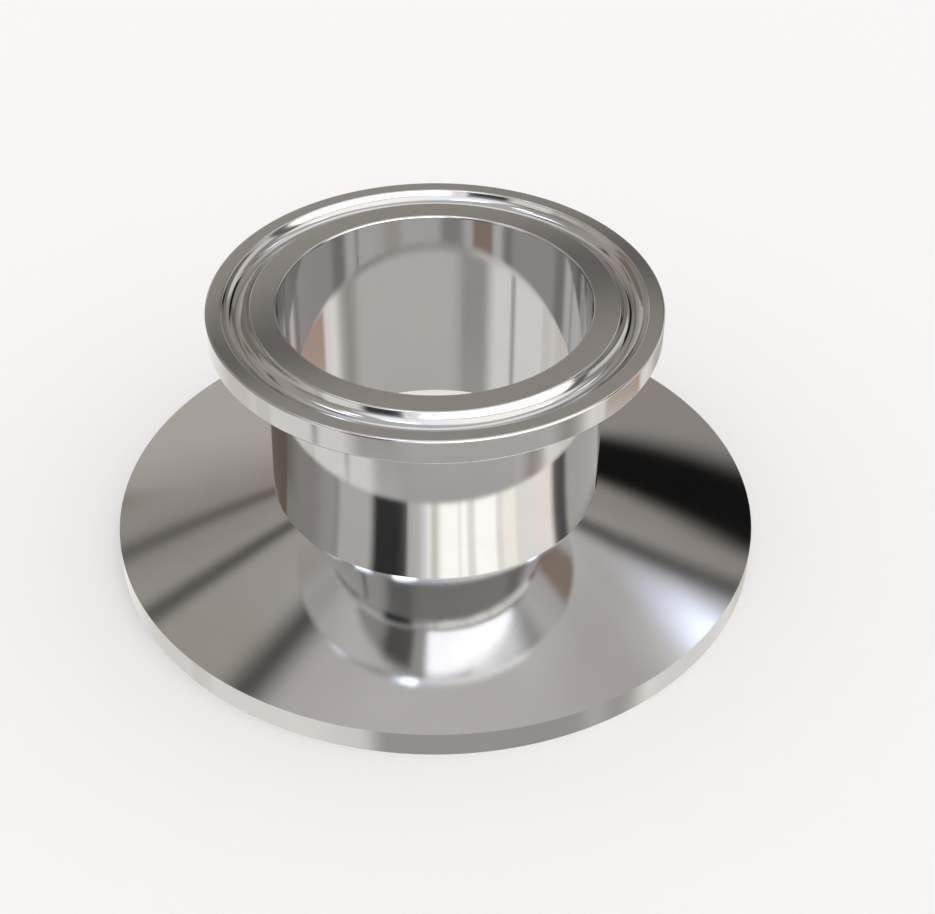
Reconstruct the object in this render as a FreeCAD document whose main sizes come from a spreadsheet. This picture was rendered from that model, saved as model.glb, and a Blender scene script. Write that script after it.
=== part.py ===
import FreeCAD, Part
import math
import os
import Sketcher

# The adapter is one turned piece of stainless steel: a small clamp ferrule on
# top, a short tube, and a wide vacuum flange below. It stands on the vacuum
# flange's seal face. The axis is Z, and the origin is the centre of that face.

NODE = "adapter_body"

# Driving sizes, in millimetres and degrees.
SIZES = (
    ("overall_length", 32.0, "seal face to seal face"),
    ("tube_diameter", 38.1, "outside of the tube between the flanges"),
    ("tube_wall", 1.65, "wall of the tube, which gives the bore"),
    ("clamp_flange_diameter", 50.4, "outside of the clamp ferrule"),
    ("clamp_rim_thickness", 2.85, "straight rim of the clamp ferrule"),
    ("clamp_back_angle", 20.0, "slope under the ferrule, from level"),
    ("clamp_root_radius", 1.2, "round where that slope meets the tube"),
    ("gasket_groove_offset", 0.585, "groove's middle, outward of the clamp face's middle"),
    ("gasket_groove_depth", 1.2, "groove below the clamp face"),
    ("gasket_floor_radius", 1.5, "round floor of the groove"),
    ("gasket_wall_angle", 25.0, "lean of the groove's walls, from the axis"),
    ("clamp_edge_break", 0.25, "chamfers of rim, groove and bore at the clamp end"),
    ("kf_flange_diameter", 75.0, "outside of the vacuum flange"),
    ("kf_rim_thickness", 3.0, "straight rim of the vacuum flange"),
    ("kf_back_angle", 15.0, "slope of the vacuum flange's back, from level"),
    ("kf_recess_diameter", 52.2, "seat of the centring ring"),
    ("kf_recess_depth", 3.0, "depth of that seat"),
    ("kf_recess_break", 0.3, "chamfer at the seat's mouth"),
    ("bore_flare_height", 3.6, "height of the bore's widening above the seat"),
    ("bore_flare_angle", 45.0, "slope of that widening, from level"),
)


# The sheet that every sketch and feature reads its sizes from.
def make_sheet(doc):
    sheet = doc.addObject("Spreadsheet::Sheet", "sizes")
    for row, (alias, value, note) in enumerate(SIZES, 1):
        sheet.set("A%d" % row, alias)
        sheet.set("B%d" % row, str(value))
        sheet.setAlias("B%d" % row, alias)
        sheet.set("C%d" % row, note)
    doc.recompute()
    return sheet


# A sketch in the half plane through the axis: its X is radius, its Y is height.
def half_plane_sketch(body, name):
    planes = {plane.Role: plane for plane in body.Origin.OriginFeatures}
    sketch = body.newObject("Sketcher::SketchObject", name)
    sketch.AttachmentSupport = [(planes["XZ_Plane"], "")]
    sketch.MapMode = "FlatFace"
    return sketch


# Straight edges from corner to corner, joined end to end into a closed loop.
def draw_loop(sketch, corners):
    points = [FreeCAD.Vector(radius, height, 0) for radius, height in corners]
    edges = []
    for start, end in zip(points, points[1:] + points[:1]):
        edges.append(sketch.addGeometry(Part.LineSegment(start, end), False))
    for edge, following in zip(edges, edges[1:] + edges[:1]):
        sketch.addConstraint(Sketcher.Constraint("Coincident", edge, 2, following, 1))
    return edges


# A round that cuts off the corner at an edge's end, sized by the sheet.
def round_corner(sketch, name, edge, radius, expression):
    sketch.fillet(edge, 2, radius, True)
    arc = sketch.GeometryCount - 1
    number = sketch.addConstraint(Sketcher.Constraint("Radius", arc, radius))
    sketch.renameConstraint(number, name)
    sketch.setExpression("Constraints." + name, expression)
    return arc


# Lines that stay level or upright.
def keep(sketch, kind, edges):
    for edge in edges:
        sketch.addConstraint(Sketcher.Constraint(kind, edge))


# A named sketch dimension that follows the sheet.
def drive(sketch, name, expression, kind, *where):
    measured = measure(sketch, kind, where)
    number = sketch.addConstraint(Sketcher.Constraint(kind, *where, measured))
    sketch.renameConstraint(number, name)
    sketch.setExpression("Constraints." + name, expression)


# What the drawn geometry measures there, as the dimension's first value.
def measure(sketch, kind, where):
    if kind == "Angle":
        line = sketch.Geometry[where[0]]
        rise = line.EndPoint - line.StartPoint
        return math.atan2(rise.y, rise.x)
    start = sketch.getPoint(where[0], where[1])
    end = sketch.getPoint(where[2], where[3])
    return end.x - start.x if kind == "DistanceX" else end.y - start.y


# Distance of an edge's first point from the axis, or its height over the seal face.
def drive_radius(sketch, name, edge, expression):
    drive(sketch, name, expression, "DistanceX", -1, 1, edge, 1)


def drive_height(sketch, name, edge, expression):
    drive(sketch, name, expression, "DistanceY", -1, 1, edge, 1)


# A full turn of a sketch about the axis, which adds metal or cuts it away.
def full_turn(body, kind, name, sketch):
    turned = body.newObject(kind, name)
    turned.Profile = sketch
    turned.ReferenceAxis = (sketch, ["V_Axis"])
    turned.Angle = 360
    sketch.Visibility = False
    return turned


# The blank: vacuum flange with its sloped back, tube, and clamp ferrule.
def add_blank(body, size):
    kf_radius = size["kf_flange_diameter"] / 2
    tube_radius = size["tube_diameter"] / 2
    clamp_radius = size["clamp_flange_diameter"] / 2
    length = size["overall_length"]
    kf_slope = math.tan(math.radians(size["kf_back_angle"]))
    clamp_slope = math.tan(math.radians(size["clamp_back_angle"]))
    tube_foot = size["kf_rim_thickness"] + (kf_radius - tube_radius) * kf_slope
    rim_foot = length - size["clamp_rim_thickness"]
    tube_top = rim_foot - (clamp_radius - tube_radius) * clamp_slope

    sketch = half_plane_sketch(body, "blank_outline")
    loop = draw_loop(sketch, [
        (0, 0), (kf_radius, 0), (kf_radius, size["kf_rim_thickness"]),
        (tube_radius, tube_foot), (tube_radius, tube_top),
        (clamp_radius, rim_foot), (clamp_radius, length), (0, length)])
    seal_face, kf_rim, kf_back, tube, clamp_back, clamp_rim, clamp_face, axis = loop
    sketch.addConstraint(Sketcher.Constraint("Coincident", seal_face, 1, -1, 1))
    keep(sketch, "Horizontal", (seal_face, clamp_face))
    keep(sketch, "Vertical", (kf_rim, tube, clamp_rim, axis))
    drive_radius(sketch, "kf_radius", kf_rim, "sizes.kf_flange_diameter / 2")
    drive_radius(sketch, "tube_radius", tube, "sizes.tube_diameter / 2")
    drive_radius(sketch, "clamp_radius", clamp_rim, "sizes.clamp_flange_diameter / 2")
    drive_height(sketch, "kf_rim_top", kf_back, "sizes.kf_rim_thickness")
    drive_height(sketch, "clamp_rim_foot", clamp_rim,
                 "sizes.overall_length - sizes.clamp_rim_thickness")
    drive_height(sketch, "clamp_face_height", clamp_face, "sizes.overall_length")
    drive(sketch, "kf_slope", "180 - sizes.kf_back_angle", "Angle", kf_back)
    drive(sketch, "clamp_slope", "sizes.clamp_back_angle", "Angle", clamp_back)
    round_corner(sketch, "clamp_root", tube, size["clamp_root_radius"],
                 "sizes.clamp_root_radius")
    return full_turn(body, "PartDesign::Revolution", "blank", sketch)


# The way through: ring seat below, flare above it, then the straight bore.
def add_bore(body, size):
    seat_radius = size["kf_recess_diameter"] / 2
    seat_depth = size["kf_recess_depth"]
    bore_radius = size["tube_diameter"] / 2 - size["tube_wall"]
    flare_slope = math.tan(math.radians(size["bore_flare_angle"]))
    flare_width = size["bore_flare_height"] / flare_slope
    flare_top = seat_depth + size["bore_flare_height"]
    length = size["overall_length"]

    sketch = half_plane_sketch(body, "bore_outline")
    loop = draw_loop(sketch, [
        (0, 0), (seat_radius, 0), (seat_radius, seat_depth),
        (bore_radius + flare_width, seat_depth), (bore_radius, flare_top),
        (bore_radius, length), (0, length)])
    mouth, seat_wall, seat_floor, flare, bore, outlet, axis = loop
    sketch.addConstraint(Sketcher.Constraint("Coincident", mouth, 1, -1, 1))
    keep(sketch, "Horizontal", (mouth, seat_floor, outlet))
    keep(sketch, "Vertical", (seat_wall, bore, axis))
    drive_radius(sketch, "seat_radius", seat_wall, "sizes.kf_recess_diameter / 2")
    drive_height(sketch, "seat_depth", seat_floor, "sizes.kf_recess_depth")
    drive_radius(sketch, "bore_radius", bore, "sizes.tube_diameter / 2 - sizes.tube_wall")
    drive_height(sketch, "flare_top", bore,
                 "sizes.kf_recess_depth + sizes.bore_flare_height")
    drive_height(sketch, "outlet_height", outlet, "sizes.overall_length")
    drive(sketch, "flare_slope", "180 - sizes.bore_flare_angle", "Angle", flare)
    return full_turn(body, "PartDesign::Groove", "bore", sketch)


# The ring groove in the clamp face, for the bead of the gasket: two leaning walls
# that would meet in a point below, and one round floor between them.
def add_gasket_groove(body, size):
    face = size["overall_length"]
    floor_radius = size["gasket_floor_radius"]
    lean = math.radians(size["gasket_wall_angle"])
    floor_centre = face - size["gasket_groove_depth"] + floor_radius
    point = floor_centre - floor_radius / math.sin(lean)
    half_mouth = (face - point) * math.tan(lean)
    clamp_radius = size["clamp_flange_diameter"] / 2
    bore_radius = size["tube_diameter"] / 2 - size["tube_wall"]
    middle = (clamp_radius + bore_radius) / 2 + size["gasket_groove_offset"]
    inner_lip = middle - half_mouth
    outer_lip = middle + half_mouth

    sketch = half_plane_sketch(body, "gasket_groove_outline")
    inner_wall, outer_wall, mouth = draw_loop(sketch, [
        (inner_lip, face), (middle, point), (outer_lip, face)])
    keep(sketch, "Horizontal", (mouth,))
    drive_height(sketch, "face_height", inner_wall, "sizes.overall_length")
    drive(sketch, "inner_lean", "sizes.gasket_wall_angle - 90", "Angle", inner_wall)
    drive(sketch, "outer_lean", "90 - sizes.gasket_wall_angle", "Angle", outer_wall)
    floor = round_corner(sketch, "floor_round", inner_wall, floor_radius,
                         "sizes.gasket_floor_radius")
    drive(sketch, "floor_height", "sizes.overall_length - sizes.gasket_groove_depth"
          " + sizes.gasket_floor_radius", "DistanceY", -1, 1, floor, 3)
    drive(sketch, "floor_middle", "(sizes.clamp_flange_diameter / 2 + sizes.tube_diameter"
          " / 2 - sizes.tube_wall) / 2 + sizes.gasket_groove_offset",
          "DistanceX", -1, 1, floor, 3)
    groove = full_turn(body, "PartDesign::Groove", "gasket_groove", sketch)
    return groove, inner_lip, outer_lip


# The circular edges of a shape at the given radii and heights.
def circles_at(shape, places):
    near = 1e-4
    found = []
    for radius, height in places:
        names = []
        for number, edge in enumerate(shape.Edges, 1):
            curve = edge.Curve
            if isinstance(curve, Part.Circle) and abs(curve.Radius - radius) < near \
                    and abs(curve.Center.z - height) < near:
                names.append("Edge%d" % number)
        if not names:
            raise RuntimeError("no edge at radius %.3f, height %.3f" % (radius, height))
        found.extend(names)
    return found


# Chamfers on those edges of the feature before, sized by the sheet.
def chamfer(doc, body, name, alias, places):
    doc.recompute()
    base = body.Tip
    feature = body.newObject("PartDesign::Chamfer", name)
    feature.Base = (base, circles_at(base.Shape, places))
    feature.setExpression("Size", "sizes." + alias)
    doc.recompute()


# A cut that removes nothing shows no error, so its volume is compared.
def check_cut(doc, before, after):
    doc.recompute()
    if after.Shape.Volume >= before.Shape.Volume:
        raise RuntimeError(after.Label + " cuts nothing")


def check_document(doc, body):
    doc.recompute()
    for thing in doc.Objects:
        if "Invalid" in thing.State or "Error" in thing.State:
            raise RuntimeError("%s did not build: %s" % (thing.Label, thing.State))
    shape = body.Shape
    if shape.isNull() or not shape.isValid() or len(shape.Solids) != 1:
        raise RuntimeError(body.Label + " is not one valid solid")


def make_adapter(doc):
    sheet = make_sheet(doc)
    size = {alias: float(sheet.get(alias)) for alias, value, note in SIZES}
    clamp_radius = size["clamp_flange_diameter"] / 2
    bore_radius = size["tube_diameter"] / 2 - size["tube_wall"]
    face = size["overall_length"]
    rim_foot = face - size["clamp_rim_thickness"]

    body = doc.addObject("PartDesign::Body", NODE)
    body.Label = NODE
    body.Placement = FreeCAD.Placement()
    blank = add_blank(body, size)
    doc.recompute()
    bore = add_bore(body, size)
    check_cut(doc, blank, bore)
    groove, inner_lip, outer_lip = add_gasket_groove(body, size)
    check_cut(doc, bore, groove)
    chamfer(doc, body, "clamp_edges", "clamp_edge_break",
            [(clamp_radius, rim_foot), (clamp_radius, face), (outer_lip, face),
             (inner_lip, face), (bore_radius, face)])
    chamfer(doc, body, "kf_seat_mouth", "kf_recess_break",
            [(size["kf_recess_diameter"] / 2, 0)])
    return body


def main():
    doc = FreeCAD.newDocument("sanitary_clamp_to_kf_adapter")
    body = make_adapter(doc)
    check_document(doc, body)
    os.makedirs("parts", exist_ok=True)
    body.Shape.exportStep("parts/%s.step" % body.Label)
    box = body.Shape.optimalBoundingBox()
    print("%s: %.1f x %.1f x %.1f mm, %.0f mm3"
          % (body.Label, box.XLength, box.YLength, box.ZLength, body.Shape.Volume))


main()
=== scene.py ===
import math

import bmesh
import bpy
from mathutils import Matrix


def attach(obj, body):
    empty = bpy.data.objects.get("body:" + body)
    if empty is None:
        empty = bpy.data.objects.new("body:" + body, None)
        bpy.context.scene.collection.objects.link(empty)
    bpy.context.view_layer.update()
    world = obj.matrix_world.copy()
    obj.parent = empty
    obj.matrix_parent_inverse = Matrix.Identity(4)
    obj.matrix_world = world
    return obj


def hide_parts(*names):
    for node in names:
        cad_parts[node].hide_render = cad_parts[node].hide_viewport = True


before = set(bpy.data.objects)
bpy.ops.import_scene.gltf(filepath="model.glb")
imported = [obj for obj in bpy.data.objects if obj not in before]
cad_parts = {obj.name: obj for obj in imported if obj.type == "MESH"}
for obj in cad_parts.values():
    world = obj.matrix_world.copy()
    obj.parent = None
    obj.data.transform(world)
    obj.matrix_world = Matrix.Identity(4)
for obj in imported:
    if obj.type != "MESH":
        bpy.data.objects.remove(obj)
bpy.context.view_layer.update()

# Sizes of the turned adapter, in millimetres and degrees, as on its drawing.
adapter = {
    "overallLength": 32.0,
    "tubeDiameter": 38.1,
    "boreDiameter": 34.8,
    "clampDiameter": 50.4,
    "clampRim": 2.85,
    "clampBackAngle": 20.0,
    "clampRoot": 1.2,        # round between tube and clamp flange
    "clampEdge": 0.25,       # rounds on the clamp rim and at the bore's mouth
    "grooveDiameter": 43.77,
    "grooveWidth": 3.03,
    "grooveDepth": 1.2,
    "grooveWallAngle": 25.0,
    "grooveFloor": 1.499,    # radius of the groove's floor
    "grooveLip": 0.25,
    "vacuumDiameter": 75.0,
    "vacuumRim": 3.0,
    "vacuumBackAngle": 15.0,
    "seatDiameter": 52.2,    # recess for the centring ring, under the foot
    "seatDepth": 3.0,
    "seatBreak": 0.3,
    "flareHeight": 3.6,
    "flareAngle": 45.0,
}
turning = {
    "segments": 360,
    "stepsPerRound": 8,
    "guideRadius": 30.0,  # of the circle that the section follows, in millimetres
    "weldDistance": 1e-7,  # in metres
    "sharpAngle": 14.0,    # edges that turn by more than this stay crisp
    "flatWeight": 100,
}
millimetre = 0.001


# Small helpers for node trees. Inputs are given by name or place, as a value or a link.
def plug(tree, value, socket):
    if isinstance(value, bpy.types.NodeSocket):
        tree.links.new(value, socket)
    else:
        socket.default_value = value


def addNode(tree, kind, inputs=(), **settings):
    node = tree.nodes.new(kind)
    for key, value in settings.items():
        setattr(node, key, value)
    for key, value in dict(inputs).items():
        plug(tree, value, node.inputs[key])
    return node


def mathIn(tree):
    def op(operation, *values):
        return addNode(tree, "ShaderNodeMath", enumerate(values),
                       operation=operation).outputs[0]
    return op


def ramp(tree, value, low, high, top=1.0, kind="SMOOTHSTEP"):  # 0 at low, top at high
    return addNode(tree, "ShaderNodeMapRange",
                   {"Value": value, "From Min": low, "From Max": high, "To Max": top},
                   interpolation_type=kind).outputs[0]


def blend(tree, share, first, second):  # sockets 6, 7 and 2 are the node's colour ones
    return addNode(tree, "ShaderNodeMix", {"Factor": share, 6: first, 7: second},
                   data_type="RGBA").outputs[2]


# The whole section as one closed line, then turned about the axis.
def buildTurningTree(material):
    tree = bpy.data.node_groups.new("turnedAdapter", "GeometryNodeTree")
    tree.interface.new_socket("Geometry", in_out="OUTPUT", socket_type="NodeSocketGeometry")
    for name in adapter:
        tree.interface.new_socket(name, in_out="INPUT", socket_type="NodeSocketFloat")
    size = tree.nodes.new("NodeGroupInput").outputs
    op = mathIn(tree)

    def slope(run, angle):  # rise over a level run
        return op("MULTIPLY", run, op("TANGENT", op("RADIANS", angle)))

    length = size["overallLength"]
    vacuumRadius = op("DIVIDE", size["vacuumDiameter"], 2)
    tubeRadius = op("DIVIDE", size["tubeDiameter"], 2)
    clampRadius = op("DIVIDE", size["clampDiameter"], 2)
    boreRadius = op("DIVIDE", size["boreDiameter"], 2)
    seatRadius = op("DIVIDE", size["seatDiameter"], 2)
    tubeFoot = op("ADD", size["vacuumRim"],
                  slope(op("SUBTRACT", vacuumRadius, tubeRadius), size["vacuumBackAngle"]))
    rimFoot = op("SUBTRACT", length, size["clampRim"])
    tubeTop = op("SUBTRACT", rimFoot,
                 slope(op("SUBTRACT", clampRadius, tubeRadius), size["clampBackAngle"]))
    flareTop = op("ADD", size["seatDepth"], size["flareHeight"])
    flareRadius = op("ADD", boreRadius, op(
        "DIVIDE", size["flareHeight"], op("TANGENT", op("RADIANS", size["flareAngle"]))))
    grooveRadius = op("DIVIDE", size["grooveDiameter"], 2)
    halfMouth = op("DIVIDE", size["grooveWidth"], 2)
    lean = slope(size["grooveDepth"], size["grooveWallAngle"])
    halfFloor = op("SUBTRACT", halfMouth, lean)
    grooveFoot = op("SUBTRACT", length, size["grooveDepth"])

    corners = [  # radius, height, round
        (seatRadius, size["seatBreak"], 0.0),
        (op("ADD", seatRadius, size["seatBreak"]), 0.0, 0.0),
        (vacuumRadius, 0.0, 0.0),
        (vacuumRadius, size["vacuumRim"], 0.0),
        (tubeRadius, tubeFoot, 0.0),
        (tubeRadius, tubeTop, size["clampRoot"]),
        (clampRadius, rimFoot, size["clampEdge"]),
        (clampRadius, length, size["clampEdge"]),
        (op("ADD", grooveRadius, halfMouth), length, size["grooveLip"]),
        (op("ADD", grooveRadius, halfFloor), grooveFoot, size["grooveFloor"]),
        (op("SUBTRACT", grooveRadius, halfFloor), grooveFoot, size["grooveFloor"]),
        (op("SUBTRACT", grooveRadius, halfMouth), length, size["grooveLip"]),
        (boreRadius, length, size["clampEdge"]),
        (boreRadius, flareTop, 0.0),
        (flareRadius, size["seatDepth"], 0.0),
        (seatRadius, size["seatDepth"], 0.0),
    ]
    index = tree.nodes.new("GeometryNodeInputIndex").outputs[0]

    def pick(dataType, values):  # one value for each corner
        switch = addNode(tree, "GeometryNodeIndexSwitch", data_type=dataType)
        while len(switch.index_switch_items) < len(values):
            switch.index_switch_items.new()
        plug(tree, index, switch.inputs["Index"])
        for number, value in enumerate(values):
            plug(tree, value, switch.inputs[number + 1])
        return switch.outputs[0]

    places = []
    for radius, height, _ in corners:
        across = op("SUBTRACT", radius, turning["guideRadius"])
        down = op("MULTIPLY", height, -1)  # the guide's side axis points down
        places.append(addNode(tree, "ShaderNodeCombineXYZ",
                              {"X": across, "Y": down, "Z": 0.0}).outputs[0])
    row = addNode(tree, "GeometryNodeMeshLine", {"Count": len(corners)}).outputs[0]
    placed = addNode(tree, "GeometryNodeSetPosition",
                     {"Geometry": row, "Position": pick("VECTOR", places)}).outputs[0]
    line = addNode(tree, "GeometryNodeMeshToCurve", {"Mesh": placed}).outputs[0]
    closed = addNode(tree, "GeometryNodeSetSplineCyclic",
                     {"Geometry": line, "Cyclic": True}).outputs[0]
    section = addNode(tree, "GeometryNodeFilletCurve",
                      {"Curve": closed, "Count": turning["stepsPerRound"],
                       "Radius": pick("FLOAT", [r for _, _, r in corners])},
                      mode="POLY").outputs[0]
    guide = addNode(tree, "GeometryNodeCurvePrimitiveCircle",
                    {"Resolution": turning["segments"], "Radius": turning["guideRadius"]})
    turned = addNode(tree, "GeometryNodeCurveToMesh",
                     {"Curve": guide.outputs[0], "Profile Curve": section}).outputs[0]
    metres = addNode(tree, "GeometryNodeTransform",
                     {"Geometry": turned, "Scale": (millimetre,) * 3}).outputs[0]
    real = addNode(tree, "GeometryNodeRealizeInstances", {"Geometry": metres}).outputs[0]
    dressed = addNode(tree, "GeometryNodeSetMaterial",
                      {"Geometry": real, "Material": material}).outputs[0]
    plug(tree, dressed, tree.nodes.new("NodeGroupOutput").inputs[0])
    return tree


# The finish: nearly a mirror, with the marks of turning, polishing and handling. In metres.
steel = {
    "color": (0.585, 0.585, 0.59),
    "mottle": 0.03,          # how much the colour varies
    "mottleSize": 0.004,
    "mottleDetail": 3.0,
    "roughness": 0.04,
    "smudge": 0.015,         # roughness added where hands have touched it
    "smudgeSize": 0.011,
    "smudgeDetail": 4.0,
    "smudgeFrom": 0.42,      # noise level where a smudge begins
    "smudgeFull": 0.72,      # and where it is full
    "ringPitch": 0.00022,    # turning marks
    "ringDetail": 2.0,
    "ringDepth": 0.00000012,
    "grainSize": 0.00009,
    "grainDetail": 1.0,
    "grainDepth": 0.0000014,
    "edgeWidth": 0.00035,    # the worn line along the outer edges
    "edgeRoughness": 0.09,
}


def makeSteel():
    material = bpy.data.materials.new("polishedStainless")
    material.use_nodes = True
    tree = material.node_tree
    shader = tree.nodes["Principled BSDF"]
    op = mathIn(tree)

    def noise(vector, size, detail):
        return addNode(tree, "ShaderNodeTexNoise",
                       {"Vector": vector, "Scale": 1 / size, "Detail": detail}).outputs[0]

    place = tree.nodes.new("ShaderNodeTexCoord").outputs["Object"]
    x, y, z = addNode(tree, "ShaderNodeSeparateXYZ", {0: place}).outputs
    radius = op("SQRT", op("ADD", op("MULTIPLY", x, x), op("MULTIPLY", y, y)))
    # Turning marks follow the tool round the axis, so they read radius and height alone.
    section = addNode(tree, "ShaderNodeCombineXYZ", {0: radius, 1: z, 2: 0.0}).outputs[0]
    rings = noise(section, steel["ringPitch"], steel["ringDetail"])
    grain = noise(place, steel["grainSize"], steel["grainDetail"])
    smudges = noise(place, steel["smudgeSize"], steel["smudgeDetail"])
    mottling = noise(place, steel["mottleSize"], steel["mottleDetail"])

    def nearEdge(edgeRadius, edgeHeight):  # 1 on that edge, 0 a short way off
        across = op("SUBTRACT", radius, edgeRadius * millimetre)
        along = op("SUBTRACT", z, edgeHeight * millimetre)
        away = op("SQRT", op("ADD", op("MULTIPLY", across, across),
                             op("MULTIPLY", along, along)))
        return ramp(tree, away, steel["edgeWidth"], 0.0)

    vacuum, clamp = adapter["vacuumDiameter"] / 2, adapter["clampDiameter"] / 2
    worn = nearEdge(vacuum, adapter["vacuumRim"])
    for edge in ((vacuum, 0.0), (clamp, adapter["overallLength"]),
                 (clamp, adapter["overallLength"] - adapter["clampRim"])):
        worn = op("MAXIMUM", worn, nearEdge(*edge))
    worn = op("MULTIPLY", worn, mottling)

    touched = ramp(tree, smudges, steel["smudgeFrom"], steel["smudgeFull"], steel["smudge"])
    roughness = op("ADD", op("ADD", touched, steel["roughness"]),
                   op("MULTIPLY", worn, steel["edgeRoughness"]))
    plug(tree, roughness, shader.inputs["Roughness"])

    dark = tuple(c * (1 - steel["mottle"]) for c in steel["color"])
    light = tuple(c * (1 + steel["mottle"]) for c in steel["color"])
    plug(tree, blend(tree, mottling, (*dark, 1), (*light, 1)), shader.inputs["Base Color"])

    ringBump = addNode(tree, "ShaderNodeBump", {"Height": rings, "Strength": 1.0,
                                                "Distance": steel["ringDepth"]})
    grainBump = addNode(tree, "ShaderNodeBump", {"Height": grain, "Strength": 1.0,
                                                 "Distance": steel["grainDepth"],
                                                 "Normal": ringBump.outputs[0]})
    plug(tree, grainBump.outputs[0], shader.inputs["Normal"])
    shader.inputs["Metallic"].default_value = 1.0
    return material


def makeAdapter():
    tree = buildTurningTree(makeSteel())
    mesh = bpy.data.meshes.new("adapterSeed")
    seed = bpy.data.objects.new("adapterSeed", mesh)
    bpy.context.scene.collection.objects.link(seed)
    modifier = seed.modifiers.new("turning", "NODES")
    modifier.node_group = tree
    for item in tree.interface.items_tree:
        if item.in_out == "INPUT":
            modifier[item.identifier] = adapter[item.name]
    bpy.context.view_layer.update()
    evaluated = seed.evaluated_get(bpy.context.evaluated_depsgraph_get())
    plain = bpy.data.meshes.new_from_object(evaluated)
    bpy.data.objects.remove(seed)

    plain.name = "turnedAdapter"
    shape = bmesh.new()
    shape.from_mesh(plain)
    bmesh.ops.remove_doubles(shape, verts=shape.verts, dist=turning["weldDistance"])
    bmesh.ops.recalc_face_normals(shape, faces=shape.faces)
    sharp = math.radians(turning["sharpAngle"])
    for face in shape.faces:
        face.smooth = True
    for edge in shape.edges:
        edge.smooth = edge.calc_face_angle(0.0) < sharp
    shape.to_mesh(plain)
    shape.free()
    piece = bpy.data.objects.new("turnedAdapter", plain)
    bpy.context.scene.collection.objects.link(piece)
    weigh = piece.modifiers.new("flatsStayFlat", "WEIGHTED_NORMAL")
    weigh.mode = "FACE_AREA"
    weigh.weight = turning["flatWeight"]
    weigh.keep_sharp = True
    return piece


adapterPiece = makeAdapter()
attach(adapterPiece, "root")
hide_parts("adapter_body")
print("adapter turned:", len(adapterPiece.data.polygons), "faces")

# A plain pale floor under a plain pale sky, which gives all the soft light. In metres.
studio = {
    "floorSize": 60.0,
    "floorColor": (0.955, 0.935, 0.935, 1.0),
    "floorRoughness": 0.9,
    "floorDrop": 0.00003,  # keeps the paper clear of the face that stands on it
    "light": (1.0, 0.99, 0.99, 1.0),
}


def makeStudio():
    half = studio["floorSize"] / 2
    drop = -studio["floorDrop"]
    mesh = bpy.data.meshes.new("floor")
    mesh.from_pydata([(-half, -half, drop), (half, -half, drop),
                      (half, half, drop), (-half, half, drop)], [], [(0, 1, 2, 3)])
    floor = bpy.data.objects.new("floor", mesh)
    bpy.context.scene.collection.objects.link(floor)
    floor.visible_glossy = False  # the metal mirrors the room's own floor
    material = bpy.data.materials.new("palePaper")
    material.use_nodes = True
    tree = material.node_tree
    shader = tree.nodes["Principled BSDF"]
    shader.inputs["Base Color"].default_value = studio["floorColor"]
    shader.inputs["Roughness"].default_value = studio["floorRoughness"]
    shader.inputs["Specular IOR Level"].default_value = 0.0
    # The paper shows from above only, so the underside can be looked at too.
    below = tree.nodes.new("ShaderNodeNewGeometry").outputs["Backfacing"]
    clear = tree.nodes.new("ShaderNodeBsdfTransparent").outputs[0]
    paper = addNode(tree, "ShaderNodeMixShader", {0: below, 1: shader.outputs[0], 2: clear})
    plug(tree, paper.outputs[0], tree.nodes["Material Output"].inputs["Surface"])
    mesh.materials.append(material)
    world = bpy.data.worlds.new("paleSky")
    bpy.context.scene.world = world
    world.use_nodes = True
    world.node_tree.nodes["Background"].inputs["Color"].default_value = studio["light"]
    world.cycles.sampling_method = "NONE"


makeStudio()
print("floor laid, sky lit")

# Polished metal is seen by what it mirrors: a large shell, seen by nothing but the metal,
# carries a room of soft patches. Azimuth 0 looks away from the camera and grows to the
# right; elevation is over the floor; sizes, tilts and soft borders are in degrees. A patch
# covers those above it in the list.
room = {
    "radius": 10.0,
    "segments": 64,
    "rings": 32,
    "horizon": (0.35, 0.315, 0.277, 1.0),
    "zenith": (0.71, 0.67, 0.65, 1.0),
    "ground": (0.985, 0.965, 0.92, 1.0),
    "skyFrom": 30,           # elevations between which horizon turns into zenith
    "skyTo": 75,
    "groundBlur": 3,         # half the soft border between ground and sky
    "glossyBounces": 10,     # the bore mirrors itself many times over
}
tints = {
    "white": (1.0, 1.0, 1.0),
    "daylight": (0.94, 0.98, 1.06),
    "skyBlue": (0.86, 0.95, 1.15),
    "warm": (1.0, 0.96, 0.91),
    "sunny": (1.0, 0.94, 0.82),
    "green": (1.0, 0.98, 0.80),
    "wood": (1.0, 0.80, 0.65),
    "brown": (1.0, 0.75, 0.60),
    "shade": (1.0, 0.92, 0.85),
}
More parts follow.
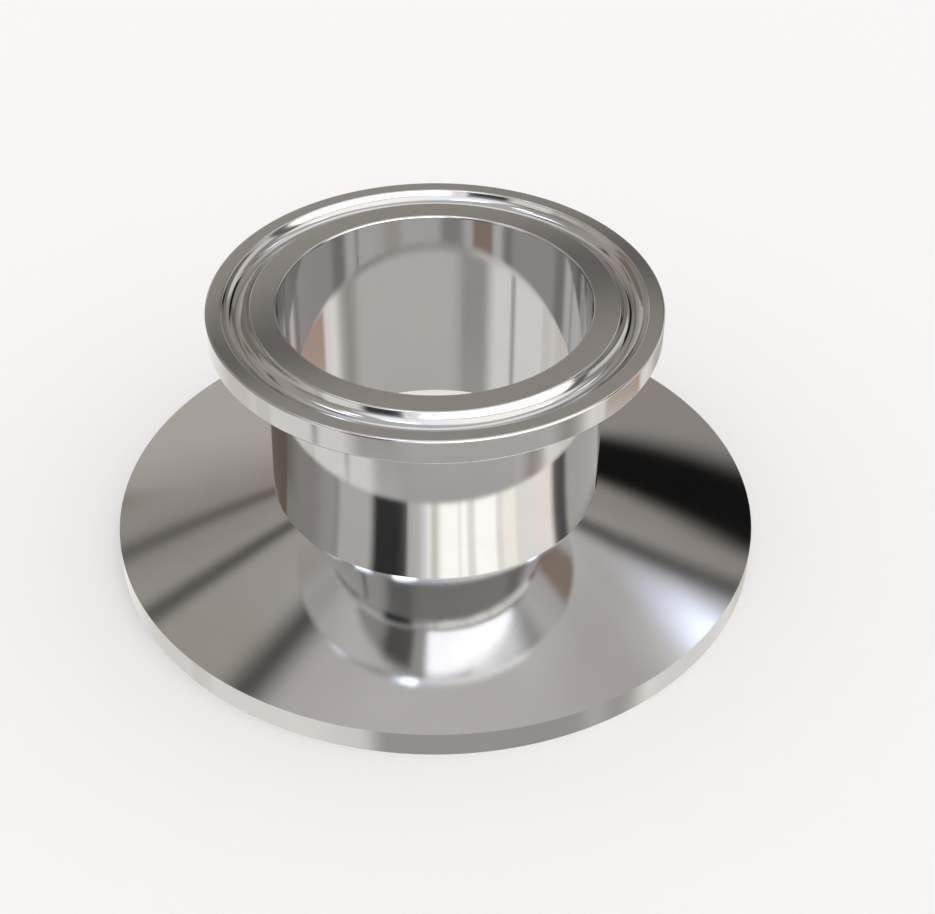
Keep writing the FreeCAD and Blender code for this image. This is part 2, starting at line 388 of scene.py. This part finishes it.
patches = [  # azimuth, elevation, width, height, soft, tilt, tint, level
    ("highRight", 129.5, 63.5, 117.5, 41.5, 20, 0, "warm", 1.54),
    ("highLeft", -160, 63.5, 63, 41.5, 20, 0, "daylight", 1.44),
    ("dimLeft", -64, 39, 46, 45.5, 7, 0, "sunny", 0.48),
    ("farWall", -22, 15.5, 47.5, 25.5, 20, 0, "shade", 0.63),
    ("farWallRight", 22.5, 18, 29, 21.5, 1.5, 0, "shade", 0.4),
    ("ceilingLight", 8.5, 57.5, 52, 19, 15, 0, "white", 1.21),
    ("windowWall", 144.5, 11.5, 82, 24, 1, 0, "warm", 2.75),
    ("windowFirst", 107, 18, 19, 39, 7.5, 0, "shade", 2.05),
    ("windowSecond", 120, 17.5, 16.5, 43, 3, 0, "warm", 1.95),
    ("windowThird", 133.5, 6, 13.5, 30.5, 2.5, 0, "sunny", 2.37),
    ("barLeft", 138, 6.5, 4.5, 39.5, 2.5, 0, "warm", 2.02),
    ("barRight", 157, 14, 5, 30, 2.5, 0, "warm", 2.02),
    ("barThin", 164.5, 14, 1.6, 30, 1.5, 0, "warm", 2.2),
    ("curtainEdge", -179.5, 15, 5.5, 43.5, 6.5, 0, "green", 1.39),
    ("curtain", -169, 23.5, 13, 33, 3, 0, "white", 1.85),
    ("besideDoor", -167.5, 21.5, 9, 36, 8, 0, "warm", 1.19),
    ("doorway", -148, 9.5, 26.5, 35.5, 14, 0, "white", 0.07),
    ("windowTop", 148.5, 30, 76.5, 14.5, 6, 0, "white", 5.18),
    ("leftWallLit", -126.5, 14, 25.5, 35.5, 7.5, 0, "warm", 1.04),
    ("leftWallHalf", -102, 8, 23, 32, 8.5, 0, "warm", 0.72),
    ("leftWallDim", -86, 9, 26.5, 33, 16.5, 0, "shade", 0.56),
    ("cabinet", -48, 14.5, 32, 28, 3.5, 0, "wood", 0.27),
    ("rightWall", 63.5, 16, 52.5, 20, 13.5, 0, "warm", 0.91),
    ("rightWallEdge", 40, 22, 5, 23, 5, 0, "warm", 0.88),
    ("rightPost", 89.5, 22, 9.5, 36.5, 7, 0, "white", 0.19),
    ("blackCorner", 29, 28.5, 22, 10, 4, 17, "warm", 0.01),
    ("rightBeam", 38, 43.9, 15.5, 3.7, 3.5, -39, "warm", 0.14),
    ("rightLamp", 46.5, 50.1, 10, 2, 11, 36, "skyBlue", 3.94),
    ("edgeLamp", 75, 60.2, 8, 4.3, 2.5, 0, "skyBlue", 3.65),
    ("cornerLamp", 48, 55.2, 13.5, 2.7, 12.5, 0, "warm", 0.86),
    ("leftBeamHigh", -41.5, 62.5, 18, 4.2, 4.5, 8, "warm", 0.1),
    ("leftBeamMiddle", -39.5, 46, 23, 3, 2.5, 8, "sunny", 0.15),
    ("leftBeamLow", -36.5, 35.6, 24, 2.5, 3, 6, "shade", 0.17),
    ("farBeam", 0.5, 33.8, 30, 2, 2.5, -11, "warm", 0.14),
    ("leftLamp", -66, 64.5, 18, 6, 12, 0, "skyBlue", 4.2),
    ("frontLampHigh", -143, 72.5, 27, 6.5, 5, -15, "skyBlue", 6.25),
    ("frontLampLow", -99, 64.5, 16, 5, 4, 0, "skyBlue", 4.0),
    ("floorFront", 146.5, -45, 105.5, 48, 11.5, 0, "warm", 0.68),
    ("floorRightLit", 94.5, -43, 10.5, 50, 12.5, 0, "warm", 1.1),
    ("stool", 70.5, -31, 30, 12.5, 4, 0, "brown", 0.57),
    ("floorRightShade", 24.5, -28.5, 32, 31, 16.5, 0, "shade", 0.57),
    ("floorFrontLeft", -150.5, -25.5, 25, 31.5, 13.5, 0, "warm", 0.44),
    ("floorStripe", -118, -26.5, 3, 25, 4.5, 0, "white", 0.38),
    ("floorShadow", 110.5, -37, 11, 23, 14, 0, "shade", 0.45),
    ("floorGap", -85, -42, 10, 19, 2.5, 0, "warm", 0.87),
    ("floorLeft", -63, -30.5, 27.5, 21.5, 17, 0, "shade", 0.82),
    ("nearFloor", 120, -64.5, 60, 18, 4, -12, "white", 2.45),
    ("farFloor", 143.5, -13, 72.5, 18, 6, 0, "warm", 0.95),
    ("paperShade", 163, -47.5, 80, 15, 12, 0, "warm", 0.48),
    ("nearFloorLeft", -111, -54, 57.5, 13.5, 12.5, 0, "warm", 1.19),
]


def makeRoom():
    material = bpy.data.materials.new("roomPatches")
    material.use_nodes = True
    material.cycles.emission_sampling = "NONE"
    tree = material.node_tree
    tree.nodes.clear()
    op = mathIn(tree)

    def within(offset, extent, soft):  # 1 inside the patch, 0 past its soft border
        return ramp(tree, op("ABSOLUTE", offset), (extent + soft) / 2, (extent - soft) / 2)

    place = tree.nodes.new("ShaderNodeTexCoord").outputs["Object"]
    direction = addNode(tree, "ShaderNodeVectorMath", {0: place},
                        operation="NORMALIZE").outputs[0]
    x, y, z = addNode(tree, "ShaderNodeSeparateXYZ", {0: direction}).outputs
    azimuth = op("DEGREES", op("ARCTAN2", x, y))
    elevation = op("DEGREES", op("ARCSINE", z))
    height = ramp(tree, elevation, room["skyFrom"], room["skyTo"], kind="LINEAR")
    sky = blend(tree, height, room["horizon"], room["zenith"])
    above = ramp(tree, elevation, -room["groundBlur"], room["groundBlur"])
    light = blend(tree, above, room["ground"], sky)
    for name, az, el, width, tall, soft, tilt, tint, level in patches:
        across = op("WRAP", op("SUBTRACT", azimuth, az), 180, -180)
        up = op("SUBTRACT", elevation, el)
        if tilt:
            cos, sin = math.cos(math.radians(tilt)), math.sin(math.radians(tilt))
            across, up = (
                op("ADD", op("MULTIPLY", across, cos), op("MULTIPLY", up, sin)),
                op("SUBTRACT", op("MULTIPLY", up, cos), op("MULTIPLY", across, sin)))
        inside = op("MULTIPLY", within(across, width, soft), within(up, tall, soft))
        light = blend(tree, inside, light, (*(c * level for c in tints[tint]), 1))
    shine = addNode(tree, "ShaderNodeEmission", {"Color": light, "Strength": 1.0})
    out = tree.nodes.new("ShaderNodeOutputMaterial")
    plug(tree, shine.outputs[0], out.inputs["Surface"])

    shape = bmesh.new()
    bmesh.ops.create_uvsphere(shape, u_segments=room["segments"], v_segments=room["rings"],
                              radius=room["radius"])
    mesh = bpy.data.meshes.new("mirroredRoom")
    shape.to_mesh(mesh)
    shape.free()
    mesh.materials.append(material)
    shell = bpy.data.objects.new("mirroredRoom", mesh)
    bpy.context.scene.collection.objects.link(shell)
    shell.visible_camera = False
    shell.visible_diffuse = False
    shell.visible_shadow = False
    bpy.context.scene.cycles.glossy_bounces = room["glossyBounces"]


makeRoom()
print("room hung:", len(patches), "patches")

# Set from the photograph: the adapter seen from its front, 38.9 degrees above level.
camera = {
    "place": (0.001063, -0.164373, 0.142383),
    "above": 38.8993,
    "sensor": 36,
    "lens": 69.203,
    "shift": 0.02455,
    "nearest": 0.005,  # anything closer is cut off
}


def makeCamera():
    data = bpy.data.cameras.new("photoCamera")
    data.sensor_width = camera["sensor"]
    data.lens = camera["lens"]
    data.shift_x = camera["shift"]
    data.clip_start = camera["nearest"]
    eye = bpy.data.objects.new("photoCamera", data)
    eye.location = camera["place"]
    eye.rotation_euler = (math.radians(90 - camera["above"]), 0, 0)
    bpy.context.scene.collection.objects.link(eye)
    bpy.context.scene.camera = eye


makeCamera()
bpy.context.scene.view_settings.view_transform = "Standard"
print("camera set")
